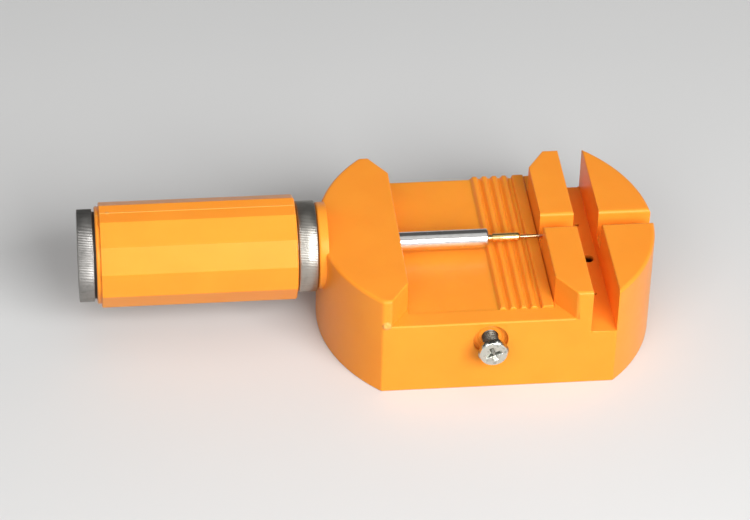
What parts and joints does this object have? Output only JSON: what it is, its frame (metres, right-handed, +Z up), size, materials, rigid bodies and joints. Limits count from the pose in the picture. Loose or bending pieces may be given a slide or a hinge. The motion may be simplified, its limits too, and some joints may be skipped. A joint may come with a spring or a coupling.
{
  "type": "watch link remover",
  "caption": "Bench press for bracelet links: a moulded body with a ribbed sliding bed, a hand-turned screw spindle with a fine push pin, and a slotted jaw bar.",
  "frame": {"origin": "on the table plane, on the bottom cover's face, under the centre of the moulded body", "axes": "+X along the spindle from the handle to the jaw bar, -Y to the front with the clamp screw, +Z up"},
  "size_m": [0.1351, 0.0623, 0.0337],
  "materials": {
    "body_plastic": "satin moulded orange",
    "platform_plastic": "satin moulded orange",
    "cover_plastic": "satin moulded orange",
    "handle_plastic": "satin moulded orange",
    "ring_metal": "turned",
    "cap_metal": "turned, with a fine straight grain",
    "hub_metal": "plain turned",
    "rod_chrome": "polished",
    "holder_brass": "turned, bright",
    "bush_brass": "turned",
    "pin_steel": "ground",
    "screw_steel": "plain",
    "clamp_plating": "bright plated, slightly rough",
    "washer_fibre": "pressed fibre",
    "pad_plastic": "plain",
    "gasket_rubber": "matt"
  },
  "bodies": {
    "base": {"base_body": "body_plastic", "bottom_cover": "cover_plastic", "cover_screws": "screw_steel", "thread_bush": "bush_brass", "clamp_nut": "bush_brass"},
    "rod": {"push_rod": "rod_chrome", "pin_holder": "holder_brass", "push_pin": "pin_steel", "thrust_washer": "bush_brass", "retaining_clip": "screw_steel"},
    "handle": {"drive_screw": "screw_steel", "drive_hub": "hub_metal", "hub_set_screw": "screw_steel", "stop_washer": "washer_fibre", "front_ring": "ring_metal", "handle_sleeve": "handle_plastic", "cap_gasket": "gasket_rubber"},
    "cap": {"end_cap": "cap_metal"},
    "platform": {"platform": "platform_plastic"},
    "clamp_pad": {"clamp_pad": "pad_plastic"},
    "clamp_screw": {"clamp_screw": "clamp_plating"}
  },
  "joints": [
    {"name": "rod_feed", "type": "slide", "parent": "base", "child": "rod", "axis": [1, 0, 0], "range_m": [-0.021, 0]},
    {"name": "handle_turn", "type": "hinge", "parent": "rod", "child": "handle", "pos_m": [-0.06, 0, 0.02165], "axis": [1, 0, 0], "range_deg": [-5040, 0]},
    {"name": "cap_unscrew", "type": "slide", "parent": "handle", "child": "cap", "axis": [-1, 0, 0], "range_m": [0, 0.02]},
    {"name": "platform_height", "type": "slide", "parent": "base", "child": "platform", "axis": [0, 0, 1], "range_m": [-0.0036, 0]},
    {"name": "clamp_pad_slide", "type": "slide", "parent": "base", "child": "clamp_pad", "axis": [0, 1, 0], "range_m": [-0.0014, 0]},
    {"name": "clamp_screw_turn", "type": "hinge", "parent": "clamp_pad", "child": "clamp_screw", "pos_m": [-0.0021, -0.03, 0.01362], "axis": [0, 1, 0], "range_deg": [-720.8, 0]}
  ],
  "couplings": [
    {"joint": "rod_feed", "follows": "handle_turn", "m_per_rad": 0.00023873},
    {"joint": "clamp_screw_turn", "follows": "clamp_pad_slide", "rad_per_m": 8976}
  ]
}
